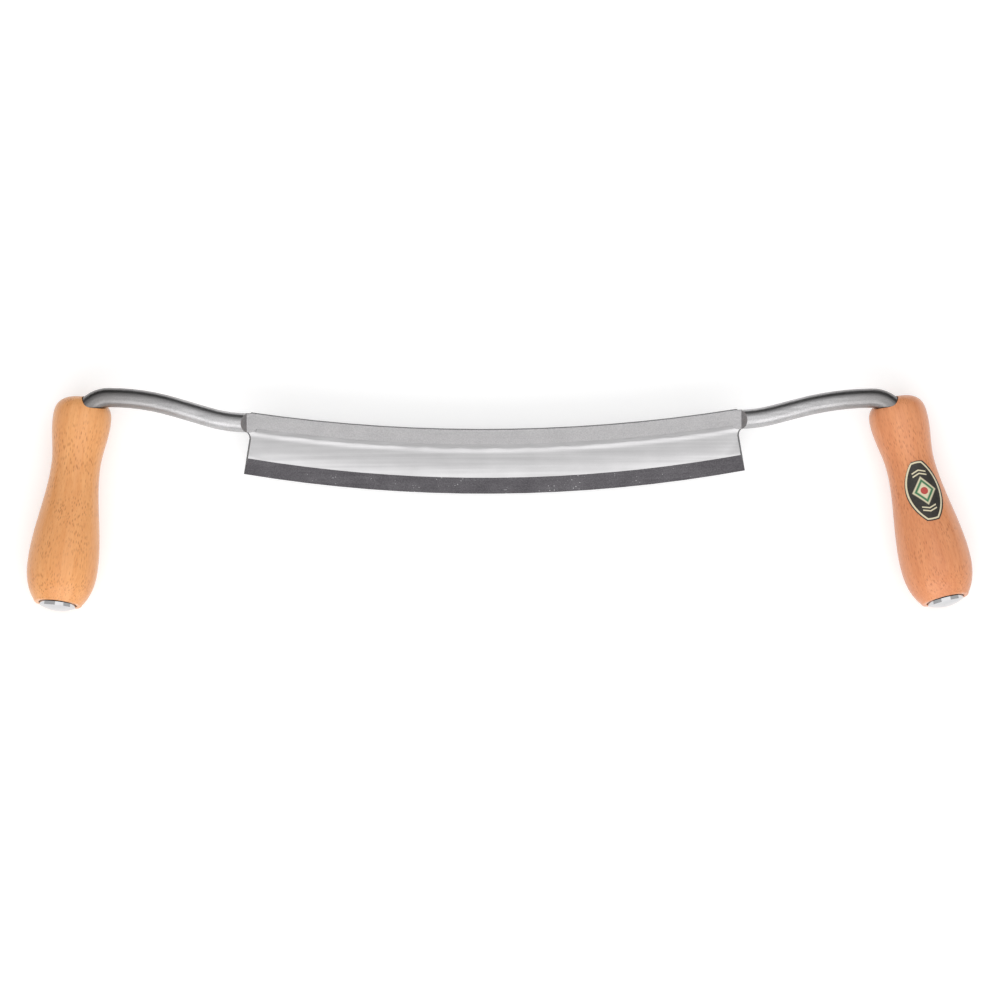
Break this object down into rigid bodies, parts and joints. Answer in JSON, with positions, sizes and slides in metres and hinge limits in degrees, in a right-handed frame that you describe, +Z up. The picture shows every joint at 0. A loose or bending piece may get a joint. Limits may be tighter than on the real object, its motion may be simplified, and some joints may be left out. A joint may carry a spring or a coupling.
{
  "type": "curved drawknife",
  "caption": "Curved drawknife: a forged blade with a ground hollow and bevel, bent tangs, and turned beech handles held by domed cap nuts.",
  "frame": {"origin": "centre of the part's box in X and Y, on the bench plane that the handles lie on", "axes": "+X along the cutting edge from the left handle to the right one, -Y towards the user and the handles' ends, +Z up from the bench to the bevelled side"},
  "size_m": [0.4696, 0.113, 0.0353],
  "materials": {
    "forged_steel": "forged and brushed, ground at the hollow and bevel",
    "beech_left": "lacquered beech, yellow",
    "beech_right": "lacquered beech, reddish",
    "dark_steel": "blackened",
    "chrome": "bright plated",
    "label_print": "printed film, satin"
  },
  "bodies": {
    "root": {"blade": "forged_steel", "handle_left": "beech_left", "handle_right": "beech_right", "washer_left": "dark_steel", "washer_right": "dark_steel", "cap_nut_left": "chrome", "cap_nut_right": "chrome", "label": "label_print"}
  },
  "joints": []
}
